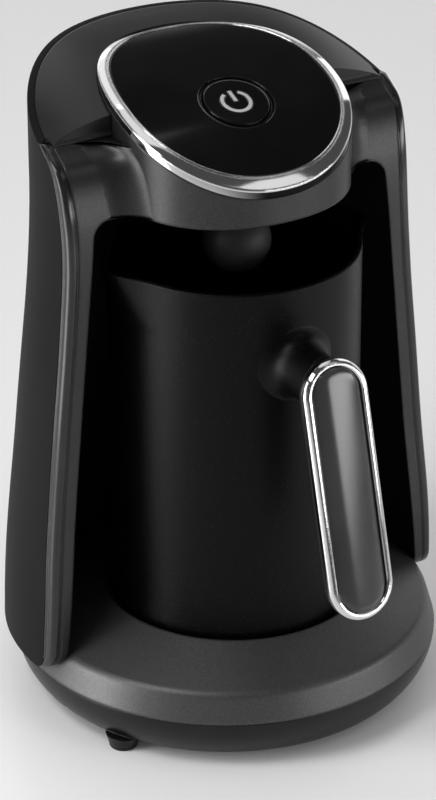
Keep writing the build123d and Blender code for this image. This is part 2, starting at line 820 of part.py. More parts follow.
def pot_form(inset, low, high):
    """The pot's side, made smaller by inset, the upper end flowing out into the lips."""
    slope = (pot_rim_radius - pot_foot_radius) / (pot_rim_z - pot_bottom_z)
    lip_root_z = pot_rim_z - lip_depth
    faces = []
    for z in (low, lip_root_z, high):
        radius = pot_foot_radius + slope * (z - pot_bottom_z) - inset
        reach = lip_reach * max(0, z - lip_root_z) / lip_depth
        faces.append(Pos(0, 0, z) * lipped_outline(radius, reach))
    return loft(faces, ruled=True)


def make_pot_shell():
    outer = pot_form(0, pot_bottom_z, pot_rim_z)
    outer = fillet(outer.edges().group_by(Axis.Z)[0], pot_edge_round)
    inner = pot_form(pot_wall, pot_floor_z, pot_rim_z + 1)
    inner = fillet(inner.edges().group_by(Axis.Z)[0], pot_inner_round)
    shell = outer - inner
    shell -= pot_cone(pot_wall, pot_bottom_z - 1, pot_floor_z - pot_wall)
    return pot_place(shell)


def make_pot_bottom_cap():
    radius = pot_foot_radius - pot_wall - shell_gap
    cap = cylinder(radius, pot_bottom_z, pot_bottom_z + cap_thickness)
    cap += tube(radius, radius - wall, pot_bottom_z, pot_bottom_z + 7)
    cap -= cylinder(post_radius + socket_gap, 0, sky_z)
    return pot_place(cap)


def make_pot_connector():
    low = pot_bottom_z + cap_thickness
    bore_top = well_floor_z + post_rise + socket_depth_spare
    body = cylinder(post_radius + socket_gap + socket_wall, low, bore_top + socket_wall)
    body -= cylinder(post_radius + socket_gap, 0, bore_top)
    return pot_place(body)


def make_pot_contacts():
    bore_top = well_floor_z + post_rise + socket_depth_spare
    low = well_floor_z + post_rise - contact_well_depth + pot_contact_gap + 0.8
    inner_radius = contact_pin_radius + pot_contact_gap + contact_thickness
    outer_radius = contact_groove_outer - contact_thickness - pot_contact_gap
    inner = tube(inner_radius, inner_radius - contact_thickness, low, bore_top)
    outer = tube(outer_radius, contact_groove_inner + pot_contact_gap, low, bore_top)
    return [pot_place(inner), pot_place(outer)]


def make_heater_plate():
    top = pot_floor_z - pot_wall
    return pot_place(cylinder(heater_plate_radius, top - heater_plate_thickness, top))


def make_heater_element():
    z = pot_floor_z - pot_wall - heater_plate_thickness - heater_tube_radius
    ring = Pos(0, 0, z) * Torus(heater_ring_radius, heater_tube_radius)
    gap = block(-6, 6, 0, 60, 0, sky_z)
    return pot_place(ring - gap)


def make_thermostat():
    top = pot_floor_z - pot_wall - heater_plate_thickness
    return pot_place(cylinder(3.4, top - 2.4, top, 0, 0) + cylinder(2.0, top - 2.8, top - 2.4, 0, 0))


handle_plane = Plane(
    origin=(0, -handle_reach, handle_mid_z),
    x_dir=(1, 0, 0),
    z_dir=(0, -cos(radians(handle_lean)), sin(radians(handle_lean))),
)


def racetrack(shrink, low, high):
    """Upright racetrack prism in the handle's own frame, between two depths."""
    face = SlotOverall(handle_length - 2 * shrink, handle_width - 2 * shrink, rotation=90)
    return extrude(Pos(0, 0, low) * face, amount=high - low)


def on_handle(shape):
    return pot_place(handle_plane.location * shape)


def make_handle_frame():
    frame = racetrack(0, -handle_frame_depth, 0)
    frame = fillet(frame.edges().group_by(Axis.Z)[-1], 1.1)
    frame = frame - racetrack(handle_border, -handle_frame_depth - 1, 1)
    return on_handle(frame)


def make_handle_inlay():
    inlay = racetrack(handle_border + inlay_fit, -inlay_thickness, 1.6)
    dome = Pos(0, 0, 0.9 - inlay_crown) * Rot(90, 0, 0) * Cylinder(inlay_crown, 2 * handle_length)
    return on_handle(inlay & dome)


def make_handle_core():
    core = racetrack(handle_border + inlay_fit, -handle_depth, -inlay_thickness)
    core += fillet(racetrack(core_inset, -handle_depth, -handle_frame_depth).edges().group_by(Axis.Z)[0], 1.4)
    for y in handle_screw_places:
        core -= Pos(0, y, -handle_depth) * Cylinder(screw_radius + shell_gap, 3 * handle_depth)
        core -= Pos(0, y, -inlay_thickness) * Cylinder(screw_head_radius + shell_gap, 2 * screw_head_height)
    return on_handle(core)


def make_handle_screws():
    screws = []
    for y in handle_screw_places:
        head = Pos(0, y, -inlay_thickness - screw_head_height / 2) * Cylinder(screw_head_radius, screw_head_height)
        middle = -(inlay_thickness + screw_head_height + handle_depth + handle_screw_bite) / 2
        length = handle_depth + handle_screw_bite - inlay_thickness - screw_head_height
        screws.append(on_handle(head + Pos(0, y, middle) * Cylinder(screw_radius, length)))
    return Compound(screws)


def neck_section(y, z, half_width, half_height):
    return Plane(origin=(0, y, z), x_dir=(1, 0, 0), z_dir=(0, -1, 0)) * Ellipse(half_width, half_height)


def make_handle_neck():
    root = neck_section(-pot_foot_radius + 3.5, neck_root_z, neck_root_half_width, neck_root_half_height)
    waist_y = -pot_rim_radius - neck_waist_reach
    middle = neck_section(waist_y, neck_root_z - 0.5, neck_waist_half_width, neck_waist_half_height)
    end = neck_section(-handle_reach + handle_depth + 3, neck_end_z, neck_end_half_width, neck_end_half_height)
    neck = loft([root, middle, end])
    neck -= pot_cone(0, pot_bottom_z, pot_rim_z)
    behind_bar = handle_plane.location * ahead_of(-handle_depth)
    for y in handle_screw_places:
        hole = Pos(0, y, -handle_depth) * Cylinder(screw_radius, 2 * handle_screw_bite)
        neck -= handle_plane.location * hole
    return pot_place(neck - behind_bar)


# ---------------------------------------------------------------- write every node
write(make_base_top_cover(), "base_top_cover")
write(make_base_tray(), "base_tray")
for number, (x, y) in enumerate(foot_places(), start=1):
    write(make_foot_pad(x, y), "foot_pad_" + str(number))
write(make_base_screws(), "base_screws")
write(make_connector_post(), "connector_post")
for name, contact in zip(("connector_pin", "connector_inner_ring", "connector_outer_ring"), make_connector_contacts()):
    write(contact, name)
write(make_power_board(), "power_board")
write(make_relay(), "power_relay")
write(make_terminal_block(), "terminal_block")
write(make_side_panel(-1), "side_panel_left")
write(make_side_panel(1), "side_panel_right")
write(make_side_rim(-1), "side_rim_left")
write(make_side_rim(1), "side_rim_right")
write(make_rear_shell(), "rear_shell")
write(make_top_hood(), "top_hood")
write(make_front_shell(), "front_shell")
write(make_column_screws(), "column_screws")
write(make_cord_gland(), "cord_gland")
write(make_chrome_ring(), "chrome_ring")
write(make_top_panel(), "top_panel")
write(make_button_bezel(), "button_bezel")
write(make_power_button(), "power_button")
write(make_power_icon(), "power_icon")
write(make_control_board(), "control_board")
write(make_board_screws(), "board_screws")
write(make_tact_switch(), "tact_switch_body")
write(make_tact_plunger(), "tact_switch_plunger")
write(make_buzzer(), "buzzer")
for side, led in zip(("left", "right"), make_button_leds()):
    write(led, "button_led_" + side)
write(make_head_underside(), "head_underside")
write(make_sensor_dome(), "sensor_dome")
write(make_sensor_nut(), "sensor_nut")
write(make_sensor_board(), "sensor_board")
write(make_wiring_loom(), "wiring_loom")
write(make_pot_shell(), "pot_shell")
write(make_pot_bottom_cap(), "pot_bottom_cap")
write(make_pot_connector(), "pot_connector")
for name, contact in zip(("pot_contact_inner", "pot_contact_outer"), make_pot_contacts()):
    write(contact, name)
write(make_heater_plate(), "heater_plate")
write(make_heater_element(), "heater_element")
write(make_thermostat(), "thermostat")
write(make_handle_frame(), "handle_frame")
write(make_handle_inlay(), "handle_inlay")
write(make_handle_core(), "handle_core")
write(make_handle_neck(), "handle_neck")
write(make_handle_screws(), "handle_screws")
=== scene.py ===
# %% [markdown]
# # An electric Turkish coffee maker
# A pot stands on a round base, inside a tall housing with a sloping top. The packed CAD model is
# the fixed frame: its solids are in their places, and each moves with its body. This script gives
# every solid a finish, and adds the few pieces whose fine shape the eye notices first. All is in
# metres: +Z up, the front at -Y, and the origin on the table under the middle of the part.

# %% Load the frame
import json
from math import cos, pi, radians, sin, sqrt
import bpy
import numpy as np
from mathutils import Matrix, Vector


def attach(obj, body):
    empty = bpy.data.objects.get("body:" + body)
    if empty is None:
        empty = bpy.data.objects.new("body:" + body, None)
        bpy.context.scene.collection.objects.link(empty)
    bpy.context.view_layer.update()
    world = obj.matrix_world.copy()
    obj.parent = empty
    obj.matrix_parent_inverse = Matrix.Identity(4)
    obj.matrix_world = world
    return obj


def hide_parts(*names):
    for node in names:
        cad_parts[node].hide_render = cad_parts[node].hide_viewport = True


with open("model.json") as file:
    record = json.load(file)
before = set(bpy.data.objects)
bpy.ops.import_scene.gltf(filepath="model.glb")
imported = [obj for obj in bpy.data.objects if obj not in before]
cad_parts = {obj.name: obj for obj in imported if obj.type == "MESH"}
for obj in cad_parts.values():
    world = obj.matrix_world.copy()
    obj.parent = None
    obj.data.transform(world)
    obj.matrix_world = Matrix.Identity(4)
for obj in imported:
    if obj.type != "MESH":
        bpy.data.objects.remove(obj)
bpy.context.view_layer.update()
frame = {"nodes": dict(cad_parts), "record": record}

# %% [markdown]
# ## Camera
# The part is seen through a long lens, from a little above and from the left. A camera can be
# placed by typing its matrix, or by an empty that it tracks. Here a heading, a tilt and a roll
# about a point inside the pot give the matrix, because three angles are easy to read and to
# change. The lens axis misses the middle of the image by a few pixels, which is what shift is for.

# %% Camera
heading, tilt, roll = radians(-29.193), radians(27.329), radians(0.144)
distance, focal_px = 1.2005, 3624.75
image_w, image_h = 436, 800
lens_axis_px = (225.68, 400.63)    # where the lens axis meets the image, from its top left corner
sensor_mm, far_limit = 36, 20
axis_y = 0.0074                    # the axis of the round base stands this far behind the origin
aim_z = 0.1
aim = Vector((0, axis_y, aim_z))
back = Vector((sin(heading) * cos(tilt), -cos(heading) * cos(tilt), sin(tilt)))
right = Vector((cos(heading), sin(heading), 0))
up = back.cross(right)
right_rolled = cos(roll) * right + sin(roll) * up
up_rolled = cos(roll) * up - sin(roll) * right
camera = bpy.data.objects.new("camera", bpy.data.cameras.new("camera"))
bpy.context.scene.collection.objects.link(camera)
turn = Matrix((right_rolled, up_rolled, back)).transposed().to_4x4()
camera.matrix_world = Matrix.Translation(aim + distance * back) @ turn
camera.data.lens = focal_px / image_h * sensor_mm
camera.data.shift_x = (image_w / 2 - lens_axis_px[0]) / image_h
camera.data.shift_y = (lens_axis_px[1] - image_h / 2) / image_h
camera.data.clip_end = far_limit
bpy.context.scene.camera = camera
print("lens", round(camera.data.lens, 1), "mm, from", [round(v, 3) for v in camera.location], "m")

# %% [markdown]
# ## Shader arithmetic
# A material is a small graph of nodes. It could be wired by hand, node by node. Wrapping a socket
# in a class lets a graph be written as plain arithmetic instead: each operator adds a Math node
# or two and hands back the output, so that 1 - mask reads as it does on paper.

# %% Shader arithmetic
class Link:
    """One socket of a shader graph that the usual operators work on."""

    def __init__(self, tree, socket=None):
        self.tree = tree
        self.socket = socket

    def make(self, kind, settings=None, inputs=None, output=0):
        """Adds a node of a kind: settings first, then values or links on its sockets."""
        node = self.tree.nodes.new(kind)
        for name, value in (settings or {}).items():
            setattr(node, name, value)
        for key, value in (inputs or {}).items():
            if isinstance(value, Link):
                self.tree.links.new(value.socket, node.inputs[key])
            else:
                node.inputs[key].default_value = value
        return Link(self.tree, node.outputs[output])

    def math(self, operation, *others):
        """A Math node with this socket as its first value."""
        return self.make("ShaderNodeMath", {"operation": operation}, dict(enumerate((self,) + others)))

    def __add__(self, other):
        return self.math("ADD", other)

    def __mul__(self, other):
        return self.math("MULTIPLY", other)

    def __sub__(self, other):
        return self.math("SUBTRACT", other)

    def __rsub__(self, other):
        return (self * -1.0) + other

    __radd__ = __add__
    __rmul__ = __mul__

    def smooth(self, low, high):
        """0 below low, 1 above high, with an eased run between them."""
        limits = {"Value": self, "From Min": low, "From Max": high}
        return self.make("ShaderNodeMapRange", {"interpolation_type": "SMOOTHSTEP"}, limits)

    def between(self, low, high):
        """Stretches 0..1 to low..high."""
        return self * (high - low) + low

    def coordinates(self):
        """The point on the piece, in metres from the origin."""
        return self.make("ShaderNodeTexCoord", output="Object")


print("sockets take", [name for name in vars(Link) if name.endswith(("add__", "mul__", "sub__"))])

# %% [markdown]
# ## What every finish shares
# Real surfaces are never quite even, so each finish mixes two close shades and lets its roughness
# wander. Edges of a moulding are never sharp either. The solids could be bevelled for that, but
# their meshes stay as they are, so a Bevel node rounds the shading within a millimetre of an edge.

# %% Shared parts of a finish
edge_round, bevel_samples = 0.0009, 6


def noise(link, scale, detail=2.0, roughness=0.5):
    """Soft random values about 0.5, in Object coordinates, scale in lumps per metre."""
    inputs = {"Vector": link.coordinates(), "Scale": scale, "Detail": detail, "Roughness": roughness}
    return link.make("ShaderNodeTexNoise", {}, inputs)


def tint(link, factor, dark, light):
    """Mixes two colours by a factor."""
    return link.make("ShaderNodeMix", {"data_type": "RGBA"}, {0: factor, 6: (*dark, 1), 7: (*light, 1)}, 2)


def bumps(link, height, strength, distance, edge=edge_round):
    """Fine relief on a normal that is already rounded where two faces meet at an edge."""
    rounded = link.make("ShaderNodeBevel", {"samples": bevel_samples}, {"Radius": edge})
    inputs = {"Height": height, "Strength": strength, "Distance": distance, "Normal": rounded}
    return link.make("ShaderNodeBump", {}, inputs)


def finish_of(name, colour, rough, metal=0.0, shine=0.5, recipe=None):
    """A Principled material: constants on its own sockets, and links for what a recipe varies."""
    material = bpy.data.materials.new(name)
    material.use_nodes = True
    shader = material.node_tree.nodes["Principled BSDF"]
    shader.inputs["Base Color"].default_value = (*colour, 1)
    shader.inputs["Roughness"].default_value = rough
    shader.inputs["Metallic"].default_value = metal
    shader.inputs["Specular IOR Level"].default_value = shine
    if recipe:
        link = Link(material.node_tree)
        for key, value in recipe(link).items():
            material.node_tree.links.new(value.socket, shader.inputs[key])
    return material


def grey(level, blue=None):
    """A grey whose blue channel may differ a little, for a cooler or a warmer look."""
    return (level, level, level if blue is None else blue)


finishes = {}


def add_finishes(maker, rows):
    """Makes a finish from each row: name, colour, dark and light shade, roughness with its limits,
    metal, shine, and after those what else the recipe takes."""
    for name, colour, dark, light, rough, low, high, metal, shine, *more in rows:
        finishes[name] = finish_of(name, colour, rough, metal, shine, maker(dark, light, low, high, *more))
    print(maker.__name__, [row[0] for row in rows])


print("edges are shaded round by", edge_round * 1000, "mm")

# %% [markdown]
# ## Metallic paint
# The base and the shell wear a dark satin paint with fine metal flakes. A picture of flakes would
# need unwrapped pieces and would blur close up. Noise of a fifth of a millimetre mixes two shades
# and lifts the flakes a little, and it keeps its true size on every piece.

# %% Metallic paint
def paint_recipe(dark, light, rough_low, rough_high):
    """Fine noise picks the shade and the relief, and slow clouds move the roughness."""
    flakes_per_m, clouds_per_m, paint_edge = 5200, 30, 0.0012
    flake_relief, flake_height = 0.12, 0.00004

    def recipe(link):
        flakes = noise(link, flakes_per_m, 1.0)
        cloud = noise(link, clouds_per_m)
        return {
            "Base Color": tint(link, flakes.smooth(0.35, 0.7), dark, light),
            "Roughness": cloud.between(rough_low, rough_high),
            "Normal": bumps(link, flakes, flake_relief, flake_height, paint_edge),
        }
    return recipe


add_finishes(paint_recipe, (
    ("base_paint", grey(0.09, 0.092), grey(0.06, 0.061), grey(0.125, 0.128), 0.44, 0.42, 0.48, 0.75, 0.5),
    ("shell_paint", grey(0.045, 0.046), grey(0.03, 0.031), grey(0.065, 0.067), 0.36, 0.33, 0.4, 0.8, 0.5),
))

# %% [markdown]
# ## Moulded plastic and rubber
# The side panels, hood, tray, feet and connectors come from moulds with a spark-eroded grain. The
# grain is a fine noise under the shine, and a slow cloud shifts the colour, as it does where the
# plastic flowed. The panels take the least shine, so that they stay matt at a flat angle.

# %% Moulded plastic and rubber
def moulded_recipe(dark, light, rough_low, rough_high, strength=0.25):
    """Fine grain gives the relief, and slow clouds pick the shade and the roughness."""
    grains_per_m, clouds_per_m, grain_height = 3600, 45, 0.00006

    def recipe(link):
        grain = noise(link, grains_per_m, 2.0, 0.6)
        cloud = noise(link, clouds_per_m, 3.0)
        return {
            "Base Color": tint(link, cloud.smooth(0.3, 0.7), dark, light),
            "Roughness": cloud.between(rough_low, rough_high),
            "Normal": bumps(link, grain, strength, grain_height),
        }
    return recipe


board_green, board_shade, board_light = (0.02, 0.12, 0.04), (0.015, 0.1, 0.03), (0.03, 0.15, 0.05)
hood_grain = 0.15
add_finishes(moulded_recipe, (
    ("tray_plastic", grey(0.007, 0.0072), grey(0.005, 0.0052), grey(0.009, 0.0092),
     0.36, 0.33, 0.4, 0.0, 0.25),
    ("hood_plastic", grey(0.012, 0.0125), grey(0.01, 0.0103), grey(0.015, 0.0155),
     0.34, 0.3, 0.38, 0.0, 0.25, hood_grain),
    ("panel_plastic", grey(0.006, 0.0062), grey(0.005, 0.0052), grey(0.0075, 0.0077),
     0.6, 0.56, 0.64, 0.0, 0.08),
    ("foot_rubber", grey(0.01), grey(0.008), grey(0.013), 0.6, 0.55, 0.7, 0.0, 0.3),
    ("circuit_board", board_green, board_shade, board_light, 0.4, 0.35, 0.45, 0.0, 0.5),
    ("connector_plastic", grey(0.01, 0.0103), grey(0.008, 0.0083), grey(0.013, 0.0134),
     0.42, 0.38, 0.46, 0.0, 0.35),
))

# %% [markdown]
# ## Gloss, chrome and bare metal
# The top panel, rims, inlay and plated ring are smooth, and what makes them real is that they are
# not perfectly flat: a very slow wave bends the reflections a little. The same recipe serves
# screws, contacts and the heater, which are only rougher and more strongly coloured.

# %% Gloss, chrome and bare metal
def polished_recipe(dark, light, rough_low, rough_high):
    """Slow clouds pick the shade and the roughness, and a slower wave bends the normal."""
    clouds_per_m, waves_per_m = 38, 22
    wave_relief, wave_height = 0.05, 0.0004

    def recipe(link):
        cloud = noise(link, clouds_per_m, 3.0)
        wave = noise(link, waves_per_m, 1.0)
        return {
            "Base Color": tint(link, cloud.smooth(0.3, 0.7), dark, light),
            "Roughness": cloud.between(rough_low, rough_high),
            "Normal": bumps(link, wave, wave_relief, wave_height),
        }
    return recipe


brass, brass_shade, brass_light = (0.6, 0.45, 0.22), (0.55, 0.4, 0.2), (0.65, 0.5, 0.26)
add_finishes(polished_recipe, (
    ("rim_gloss", grey(0.012, 0.0125), grey(0.01, 0.0105), grey(0.014, 0.0145), 0.16, 0.13, 0.2, 0.0, 0.5),
    ("panel_gloss", grey(0.003, 0.0032), grey(0.002, 0.0022), grey(0.004, 0.0042),
     0.08, 0.07, 0.11, 0.0, 0.3),
    ("sensor_gloss", grey(0.03, 0.031), grey(0.026, 0.027), grey(0.034, 0.035), 0.5, 0.46, 0.54, 0.0, 0.3),
    ("inlay_gloss", grey(0.04, 0.042), grey(0.036, 0.037), grey(0.045, 0.046), 0.16, 0.14, 0.18, 0.0, 0.5),
    ("chrome", grey(0.7, 0.71), grey(0.68, 0.69), grey(0.72, 0.73), 0.07, 0.06, 0.09, 1.0, 0.5),
    ("icon_white", grey(0.45), grey(0.42), grey(0.48), 0.5, 0.45, 0.55, 0.0, 0.5),
    ("screw_steel", grey(0.5), grey(0.45), grey(0.55), 0.35, 0.3, 0.42, 1.0, 0.5),
    ("contact_brass", brass, brass_shade, brass_light, 0.3, 0.25, 0.38, 1.0, 0.5),
    ("heater_aluminium", grey(0.6, 0.61), grey(0.55, 0.56), grey(0.65, 0.66), 0.4, 0.35, 0.5, 1.0, 0.5),
    ("led_lens", grey(0.6, 0.5), grey(0.55, 0.45), grey(0.65, 0.55), 0.3, 0.25, 0.35, 0.0, 0.5),
))

# %% [markdown]
# ## Pot coating
# The pot is sprayed with a near-black non-stick film that holds pale specks. Voronoi cells give
# round specks of even size, and a grain lets only some of them show, so that they don't stand in
# rows. The same grain roughens the film.

# %% Pot coating
def coating_recipe(link):
    """Pale flecks where a cell's middle meets a high spot of the grain, in a near-black film."""
    cells_per_m, grains_per_m = 1500.0, 2600
    film, fleck = (0.0012, 0.0012, 0.0013), (0.05, 0.05, 0.051)
    grain_relief, grain_height = 0.6, 0.00014
    inputs = {"Vector": link.coordinates(), "Scale": cells_per_m}
    cells = link.make("ShaderNodeTexVoronoi", {"feature": "F1"}, inputs)
    spots = 1 - cells.smooth(0.1, 0.3)
    grain = noise(link, grains_per_m, 2.0, 0.6)
    mask = spots * grain.smooth(0.52, 0.66)
    return {
        "Base Color": tint(link, mask, film, fleck),
        "Roughness": grain.between(0.26, 0.38),
        "Normal": bumps(link, grain, grain_relief, grain_height),
    }


pot_grey = grey(0.002, 0.0021)
finishes["pot_coating"] = finish_of("pot_coating", pot_grey, 0.34, shine=0.12, recipe=coating_recipe)
print("finishes so far", len(finishes))

# %% [markdown]
# ## Dressing the solids
# Each solid's material slot is named in the record, so one loop dresses them all. A few hidden
# slots share a finish with a seen one: the loom's sleeve is the same rubber as the feet.

# %% Dress the CAD nodes
finishes["component_plastic"] = finishes["core_plastic"] = finishes["connector_plastic"]
finishes["loom_sleeve"] = finishes["foot_rubber"]
slots = {part["node"]: part["material_slot"] for part in frame["record"]["subparts"]}
for node, thing in frame["nodes"].items():
    thing.data.materials.clear()
    thing.data.materials.append(finishes[slots[node]])
print("dressed", len(frame["nodes"]), "nodes with", len(finishes), "finishes")

# %% [markdown]
# ## Surfaces on a grid
# A new piece is a table of points: rows run along the piece, and columns run round it and close.
# It could be modelled by extruding and bevelling, but a table is worked out by numpy at once, and
# one call puts it into a mesh. The shapes are drawn in millimetres about the axis of the round
# base, which stands a little behind the origin.

# %% Surfaces on a grid
mm = 1000


def grid_faces(rows, columns, close_rows):
    """Quads between neighbours in a table of rows x columns, wrapping where it closes. The point
    at a row and a column has the number row times columns plus column."""
    row = np.arange(rows if close_rows else rows - 1)
    low, left = np.meshgrid(row, np.arange(columns), indexing="ij")
    high, beyond = (low + 1) % rows, (left + 1) % columns
    corners = (low * columns + left, low * columns + beyond, high * columns + beyond, high * columns + left)
    return np.stack(corners, -1).reshape(-1, 4)


def fan_faces(rows, columns):
    """Triangles that close the first and the last row, each to one point after the table."""
    ring = np.arange(columns)
    after = (ring + 1) % columns
    start = rows * columns
    first = np.stack([after, ring, np.full(columns, start)], -1)
    last_row = (rows - 1) * columns
    last = np.stack([ring + last_row, after + last_row, np.full(columns, start + 1)], -1)
    return first.tolist() + last.tolist()


def signed_volume(mesh):
    """Sum of the tetrahedra from the origin to each triangle: negative when a mesh is inside out."""
    mesh.calc_loop_triangles()
    corners = np.empty(len(mesh.loop_triangles) * 3, int)
    mesh.loop_triangles.foreach_get("vertices", corners)
    places = np.empty(len(mesh.vertices) * 3)
    mesh.vertices.foreach_get("co", places)
    a, b, c = places.reshape(-1, 3)[corners.reshape(-1, 3)].transpose(1, 0, 2)
    return float(np.einsum("ij,ij->i", a, np.cross(b, c)).sum() / 6)


def surface(name, body, points, finish, close_rows=False, replaces=()):
    """Makes a piece from a table of points in millimetres about the base's axis: each is divided by
    1000 and moved back to that axis. Open ends are closed with a fan each."""
    rows, columns = points.shape[:2]
    places = points.reshape(-1, 3)
    faces = grid_faces(rows, columns, close_rows).tolist()
    if not close_rows:
        places = np.concatenate([places, points[:1].mean(1), points[-1:].mean(1)])
        faces += fan_faces(rows, columns)
    mesh = bpy.data.meshes.new(name)
    mesh.from_pydata((places / mm + np.array((0, axis_y, 0))).tolist(), [], faces)
    mesh.validate()
    volume = signed_volume(mesh)
    if volume < 0:
        mesh.flip_normals()
    mesh.polygons.foreach_set("use_smooth", np.ones(len(mesh.polygons), bool))
    mesh.materials.append(finish)
    piece = bpy.data.objects.new(name, mesh)
    bpy.context.scene.collection.objects.link(piece)
    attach(piece, body)
    if replaces:
        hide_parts(*replaces)
    print(name, len(faces), "faces", round(abs(volume) * mm ** 3), "mm3")


print("ready to make pieces about y =", axis_y * mm, "mm")

# %% [markdown]
# ## Rounded sections
# A swept piece starts as a small closed section: a few corners, each with the radius it is
# rounded by. A bevel on the finished mesh would round every edge alike, so the rounding is done
# here, in the section.

# %% Rounded sections
def rounded_loop(corners, radii, steps=6):
    """Closed polygon with rounded corners. A corner of angle 2a and radius r starts and ends its
    round r / tan(a) along both sides, and a parabola through those points, pulled to the corner,
    stands for the arc."""
    corners = np.array(corners, float)
    before, after = np.roll(corners, 1, 0) - corners, np.roll(corners, -1, 0) - corners
    before /= np.linalg.norm(before, axis=1, keepdims=True)
    after /= np.linalg.norm(after, axis=1, keepdims=True)
    half = np.arccos(np.clip((before * after).sum(1), -1, 1)) / 2
    reach = np.array(radii) / np.tan(half)
    share = np.linspace(0, 1, steps)[None, :, None]
    start = (corners + before * reach[:, None])[:, None]
    end = (corners + after * reach[:, None])[:, None]
    middle = corners[:, None]
    arcs = (1 - share) ** 2 * start + 2 * share * (1 - share) * middle + share ** 2 * end
    return arcs.reshape(-1, 2)


# Across and down in mm, with the outer edge of the ring's face at 0 and its top at 0.
face_corners = [
    (-3.7, 2.4), (-3.7, 0.0), (-3.15, 0.0), (-3.0, 0.35), (-2.75, 0.05), (-0.25, 0.75),
    (0.0, 1.15), (-0.4, 2.4)]
face_section = rounded_loop(face_corners, [0.1, 0.12, 0.06, 0.06, 0.08, 0.12, 0.12, 0.1])
band_corners = [(-3.6, 3.4), (-3.6, 2.6), (-0.5, 1.3), (-0.15, 1.3), (-0.05, 3.4)]
band_section = rounded_loop(band_corners, [0.1] * 5)
print("points in a section: face", len(face_section), "band", len(band_section))

# %% [markdown]
# ## The head's outline
# Seen from above, the head is an egg: a superellipse with a longer rear half. The solid's outline
# is a smooth curve through 28 points of it, so the same points and the same kind of curve are
# used here, and a piece swept along it lies on the solid to a hair. The top is part of a big drum
# lying along X, which gives every point of the outline its height.

# %% The head's outline
crest_y, crest_z, crown_radius = 38.0, 217.5, 132.0
head_half_width, head_front, head_rear = 39.0, 36.6, 47.5
head_y, head_power, head_points = -1.8, 2.15, 28
round_columns = 420


def closed_spline(points, count):
    """Smooth closed curve through points. Each span is a cubic, and the bends at the points solve
    the ring of equations that make slope and bend run on from span to span."""
    gap = np.linalg.norm(np.roll(points, -1, 0) - points, axis=1)
    n = len(points)
    index = np.arange(n)
    system = np.zeros((n, n))
    system[index, index - 1] = np.roll(gap, 1)
    system[index, index] = 2 * (np.roll(gap, 1) + gap)
    system[index, (index + 1) % n] = gap
    slope = (np.roll(points, -1, 0) - points) / gap[:, None]
    bend = np.linalg.solve(system, 6 * (slope - np.roll(slope, 1, 0)))
    knots = np.concatenate([[0], np.cumsum(gap)])
    where = np.linspace(0, knots[-1], count, endpoint=False)
    k = np.clip(np.searchsorted(knots, where, side="right") - 1, 0, n - 1)
    h, t = gap[k][:, None], (where - knots[k])[:, None]
    after = (k + 1) % n
    line = points[k] * (h - t) / h + points[after] * t / h
    near, far = (h - t) ** 3 / h - h * (h - t), t ** 3 / h - h * t
    return line + near * bend[k] / 6 + far * bend[after] / 6


def crown(y, drop):
    """Height of the top at y: the drum's circle, which has its highest point at the crest, with
    its radius smaller by drop."""
    return crest_z - crown_radius + np.sqrt((crown_radius - drop) ** 2 - (y - crest_y) ** 2)


def egg_loop(grow):
    """Superellipse: half the width times sine, and the front or rear reach times cosine, both to
    the power 2 / 2.15, grown outwards by grow."""
    turn = 2 * pi * np.arange(head_points) / head_points
    side, ahead = np.abs(np.sin(turn)) ** (2 / head_power), np.abs(np.cos(turn)) ** (2 / head_power)
    rearward = np.cos(turn) > 1e-9
    reach = np.where(rearward, head_rear, head_front)
    x = (head_half_width + grow) * side * np.sign(np.round(np.sin(turn), 9))
    y = head_y + (reach + grow) * ahead * np.where(rearward, 1, -1)
    return closed_spline(np.stack([x, y], -1), round_columns)


def round_the_head(section):
    """Carries a section of (grow, drop) pairs round the egg: x and y from the egg grown by grow,
    and z from the crown lowered by drop."""
    loops = np.stack([egg_loop(grow) for grow, drop in section])
    heights = crown(loops[..., 1], section[:, 1:])
    return np.concatenate([loops, heights[..., None]], -1)


print("head", 2 * head_half_width, "mm wide,", head_front + head_rear, "mm long")

# %% [markdown]
# ## Chrome ring
# The head wears a plated ring: a broad face that slopes outwards, with a thin groove inside it,
# over a narrow band that is plated on the left and painted near-black towards the front and the
# right, a painted dark reflection on its chrome. Sweeping one section round the egg keeps each of
# those edges crisp all the way, which a bevel on a flat ring would not.

# %% Chrome ring
def band_dark_reflection_recipe(link):
    """Plating on the left that passes into a painted dark reflection as X runs from -24 to -6 mm."""
    # Plating colour on the left; the near-black colour paints a dark reflection on the chrome band.
    plated, painted_dark_reflection = (0.5, 0.5, 0.51), (0.006, 0.006, 0.0062)
    clouds_per_m, band_edge = 38, 0.0004
    cloud_relief, cloud_height = 0.05, 0.0003
    x = link.make("ShaderNodeSeparateXYZ", {}, {"Vector": link.coordinates()}, "X")
    cloud = noise(link, clouds_per_m, 3.0)
    return {
        "Base Color": tint(link, x.smooth(-0.024, -0.006), plated, painted_dark_reflection),
        "Roughness": cloud.between(0.07, 0.12),
        "Normal": bumps(link, cloud, cloud_relief, cloud_height, band_edge),
    }


# This finish paints the band's dark reflection towards the front and the right.
band_dark_reflection_finish = finish_of("ring_band_painted_dark_reflection", grey(0.01), 0.1, metal=1.0, recipe=band_dark_reflection_recipe)
for name, section, finish in (
    ("chrome_ring_face", face_section, finishes["chrome"]),
    ("chrome_ring_band", band_section, band_dark_reflection_finish),
):
    surface(name, "housing", round_the_head(section), finish,
            close_rows=True, replaces=["chrome_ring"])

# %% [markdown]
# ## Column curves
# The column narrows upwards along a smooth curve, and its front is a sheet that leans back under
# the hood. The outer curve is short to write down again. The sheet's line is not, so it is felt
# for: at each height a ray is sent backwards beside the rim, and it stops on the shell.

# %% Column curves
column_y, column_foot_radius = 0.3, 75.0
column_insets = np.array([
    (0.0, 14), (0.4, 34), (1.6, 54), (4.4, 83), (7.0, 111),
    (9.8, 140), (11.7, 169), (11.9, 188), (11.9, 206)])
# The rim reaches 3.4 mm inwards, and the sheet meets it about 12 mm ahead of the column's middle.
rim_depth, sheet_lead, beside_rim = 3.4, 12.0, 1.0
ray_start_y, if_missed_y = -90, 4.5


